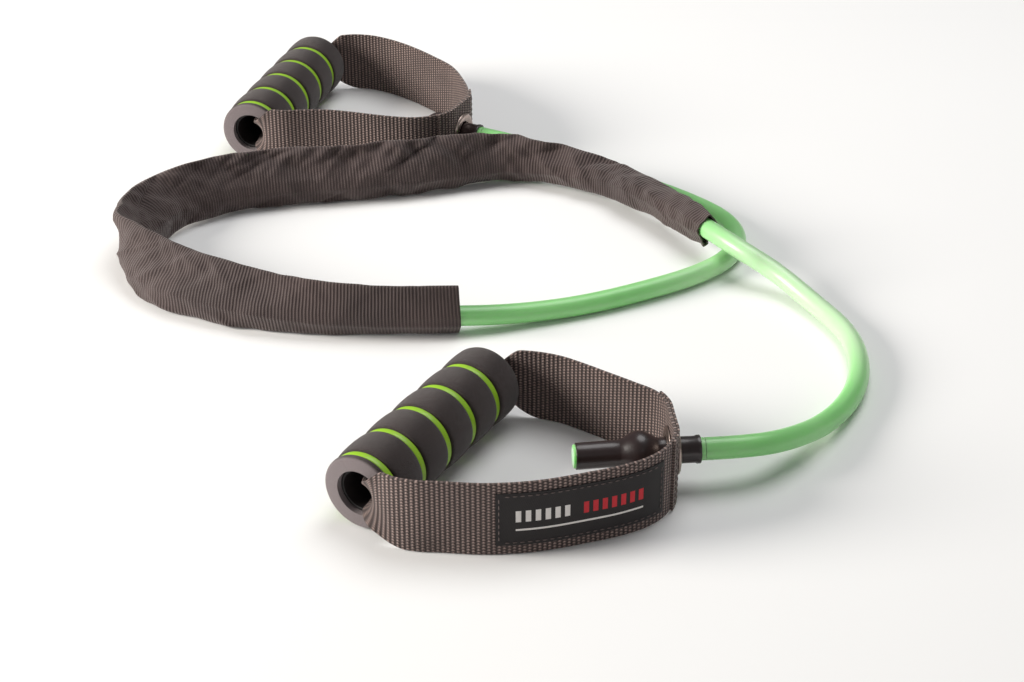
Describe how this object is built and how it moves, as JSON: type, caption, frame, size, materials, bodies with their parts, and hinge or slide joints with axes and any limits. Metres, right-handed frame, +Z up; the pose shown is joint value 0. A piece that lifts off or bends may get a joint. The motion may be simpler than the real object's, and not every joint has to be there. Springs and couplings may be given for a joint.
{
  "type": "resistance band",
  "caption": "Latex exercise tube with a swivelling webbing loop and a ringed foam grip at each end, and a woven sleeve over its middle.",
  "frame": {"origin": "on the surface the band lies on, below the middle of the handles and the sleeve", "axes": "+Z up from the surface; +Y from the near handle towards the far handle; +X towards the tube's free bend"},
  "size_m": [0.4096, 0.5354, 0.039],
  "materials": {
    "latex": "translucent smooth latex",
    "sleeve_cloth": "ribbed woven cloth",
    "plug": "smooth moulded ball",
    "collar_rubber": "half gloss rubber",
    "webbing": "coarse woven webbing",
    "label": "woven label",
    "thread": "sewing thread",
    "eyelet_metal": "rolled metal",
    "grip_foam": "matt closed-cell foam",
    "grip_core": "matt plastic tube",
    "ring_plastic": "smooth bright plastic"
  },
  "bodies": {
    "band": {"latex_tube": "latex", "protective_sleeve": "sleeve_cloth", "near_tube_end": "latex", "near_plug": "plug", "near_collar": "collar_rubber", "far_tube_end": "latex", "far_plug": "plug", "far_collar": "collar_rubber"},
    "near_handle": {"near_strap": "webbing", "near_strap_patch": "webbing", "near_label": "label", "near_stitching": "thread", "near_eyelet": "eyelet_metal", "near_eyelet_washer": "eyelet_metal"},
    "near_grip": {"near_grip_foam": "grip_foam", "near_grip_core": "grip_core", "near_grip_ring_1": "ring_plastic", "near_grip_ring_2": "ring_plastic", "near_grip_ring_3": "ring_plastic", "near_grip_ring_4": "ring_plastic", "near_grip_ring_5": "ring_plastic"},
    "far_handle": {"far_strap": "webbing", "far_strap_patch": "webbing", "far_label": "label", "far_stitching": "thread", "far_eyelet": "eyelet_metal", "far_eyelet_washer": "eyelet_metal"},
    "far_grip": {"far_grip_foam": "grip_foam", "far_grip_core": "grip_core", "far_grip_ring_1": "ring_plastic", "far_grip_ring_2": "ring_plastic", "far_grip_ring_3": "ring_plastic", "far_grip_ring_4": "ring_plastic", "far_grip_ring_5": "ring_plastic"}
  },
  "joints": [
    {"name": "near_handle_swivel", "type": "hinge", "parent": "band", "child": "near_handle", "pos_m": [0.12605, -0.20933, 0.0195], "axis": [0.996, 0.0889, 0], "continuous": true},
    {"name": "near_grip_spin", "type": "hinge", "parent": "near_handle", "child": "near_grip", "pos_m": [-0.0187, -0.2456, 0.0195], "axis": [0.4985, 0.8669, 0], "continuous": true},
    {"name": "far_handle_swivel", "type": "hinge", "parent": "band", "child": "far_handle", "pos_m": [0.01903, 0.15252, 0.0195], "axis": [0.8976, -0.4409, 0], "continuous": true},
    {"name": "far_grip_spin", "type": "hinge", "parent": "far_handle", "child": "far_grip", "pos_m": [-0.1094, 0.1509, 0.0195], "axis": [0.2783, 0.9605, 0], "continuous": true}
  ]
}
